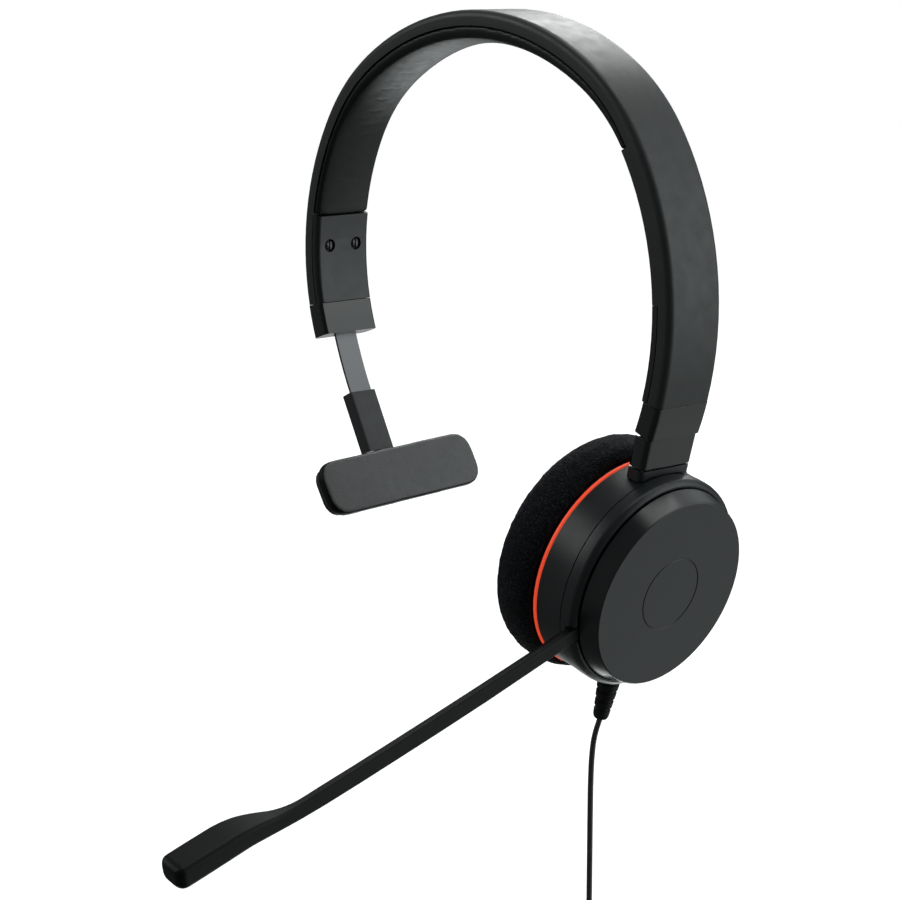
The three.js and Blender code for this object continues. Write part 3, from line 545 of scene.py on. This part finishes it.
# the foam's relief: the size of its features and their height, in mm
for label, size, strength in (("lumps", 2.4, 0.28), ("pores", 0.8, 0.22)):
    texture = bpy.data.textures.new("foam_" + label, "CLOUDS")
    texture.noise_scale = size * MM
    texture.noise_depth = 2
    displace = foam_pad.modifiers.new(label, "DISPLACE")
    displace.texture = texture
    displace.texture_coords = "LOCAL"
    displace.strength = strength * MM
    displace.mid_level = 0.5


BAND_MIDDLE = (0, 0, -65)      # in mm, about the middle of the band's arch


def towards_head(point):
    """From a point of the band to the middle of its arch."""
    return (Vector(BAND_MIDDLE) * MM - Vector((point.x, 0, point.z))).normalized()


crown_pad = stuffed(
    "crown_cushion", "headband_cushion", "headband", voxel=0.7, shrink=0.0, pressure=2.0, cap=0.3,
    held=lambda point, normal: abs(normal.y) > 0.35 or normal.dot(towards_head(point)) < 0.6,
)
dress(crown_pad, BAND_SKIN)

side_pad = stuffed(
    "temple_cushion", "temple_pad", "temple_rest", voxel=0.6, shrink=0.0, pressure=2.0, cap=0.35,
    held=lambda point, normal: normal.dot(Vector(PAD_NORMAL)) < 0.97,
)
dress(side_pad, PAD_SKIN)

# ---- floor, lights and surroundings -----------------------------------------------------------------

FLOOR_HEIGHT = -0.272          # where the coil and the plug lie
FLOOR_RADIUS = 90
FLOOR_GLOW = 0.86              # makes the floor as pale as the surroundings, lit or not


def make_floor():
    """A large pale disc that shows to the camera only, so that it doesn't light the object."""
    mesh = bpy.data.meshes.new("floor")
    body = bmesh.new()
    bmesh.ops.create_circle(body, cap_ends=True, segments=64, radius=FLOOR_RADIUS)
    body.to_mesh(mesh)
    body.free()
    floor = bpy.data.objects.new("floor", mesh)
    floor.location.z = FLOOR_HEIGHT
    bpy.context.scene.collection.objects.link(floor)
    material, tree, shader = new_material("floor_paper")
    link(tree, mix_colour(
        tree, remap(tree, noise(tree, 40 * MM, 2), 0, 1), (0.4, 0.4, 0.4), (0.42, 0.42, 0.42),
    ), shader.inputs["Base Color"])
    shader.inputs["Roughness"].default_value = 0.9
    shader.inputs["Specular IOR Level"].default_value = 0.1
    shader.inputs["Emission Color"].default_value = (1, 1, 1, 1)
    shader.inputs["Emission Strength"].default_value = FLOOR_GLOW
    floor.data.materials.append(material)
    floor.visible_glossy = False
    floor.visible_diffuse = False


LIT_POINT = (0, 0, -0.1)
LAMP_DISTANCE = 1.2


def soft_box(name, direction, size, power):
    """A square lamp of `size` metres and `power` watts, in a direction from the object's middle."""
    light = bpy.data.lights.new(name, "AREA")
    light.shape = "RECTANGLE"
    light.size, light.size_y = size
    light.energy = power
    lamp = bpy.data.objects.new(name, light)
    away = Vector(direction).normalized()
    lamp.location = Vector(LIT_POINT) + away * LAMP_DISTANCE
    lamp.rotation_euler = (-away).to_track_quat("-Z", "Y").to_euler()
    lamp.visible_camera = False
    bpy.context.scene.collection.objects.link(lamp)


make_floor()
soft_box("overhead", (0.1, 0.25, 1.0), (0.9, 0.8), 5)
soft_box("back_left", (-0.45, 0.7, 0.56), (0.4, 0.4), 4)
soft_box("front_left", (-0.6, -0.6, 0.53), (0.6, 0.6), 3)

ROOM = 0.09                    # the dim surroundings' strength
ROOM_COLOUR = (0.95, 1.0, 1.0)
# the pale areas in them: direction, strength, and the angles from it where each is full and gone
LOBES = [
    ((-0.35, 0.6, 0.72), 0.8, 10, 42),
    ((-0.45, 0.6, -0.66), 2.0, 8, 25),
    ((0.72, 0.64, 0.3), 1.6, 6, 42),
    ((0.6, 0.65, -0.4), 0.5, 10, 48),
    ((-0.55, -0.8, 0.15), 0.09, 10, 60),
]


def lobe(tree, direction, strength, inner, outer):
    """`strength` within `inner` degrees of a direction, fading to nothing at `outer` degrees."""
    coordinates = tree.nodes.new("ShaderNodeTexCoord")
    facing = dot_product(tree, coordinates.outputs["Generated"], Vector(direction).normalized())
    ramp = tree.nodes.new("ShaderNodeMapRange")
    ramp.interpolation_type = "SMOOTHSTEP"
    ramp.inputs["From Min"].default_value = math.cos(math.radians(outer))
    ramp.inputs["From Max"].default_value = math.cos(math.radians(inner))
    ramp.inputs["To Max"].default_value = strength
    link(tree, facing, ramp.inputs["Value"])
    return ramp.outputs["Result"]


def added(tree, value, other):
    """The sum of a value socket and another one, or a number."""
    node = tree.nodes.new("ShaderNodeMath")
    link(tree, value, node.inputs[0])
    if isinstance(other, bpy.types.NodeSocket):
        link(tree, other, node.inputs[1])
    else:
        node.inputs[1].default_value = other
    return node.outputs["Value"]


def make_world():
    """Evenly pale where the camera sees it. For light and reflections it is a dim room with soft pale
    areas in it."""
    world = bpy.data.worlds.new("studio")
    world.use_nodes = True
    tree = world.node_tree
    shade = tree.nodes["Background"]
    shade.inputs["Color"].default_value = (*ROOM_COLOUR, 1)
    areas = [lobe(tree, *area) for area in LOBES]
    total = areas[0]
    for area in areas[1:]:
        total = added(tree, total, area)
    link(tree, added(tree, total, ROOM), shade.inputs["Strength"])
    plain = tree.nodes.new("ShaderNodeBackground")
    plain.inputs["Strength"].default_value = 1.0
    seen = tree.nodes.new("ShaderNodeLightPath")
    both = tree.nodes.new("ShaderNodeMixShader")
    link(tree, seen.outputs["Is Camera Ray"], both.inputs[0])
    link(tree, shade.outputs["Background"], both.inputs[1])
    link(tree, plain.outputs["Background"], both.inputs[2])
    link(tree, both.outputs["Shader"], tree.nodes["World Output"].inputs["Surface"])
    bpy.context.scene.world = world


make_world()
bpy.context.scene.view_settings.view_transform = "Standard"
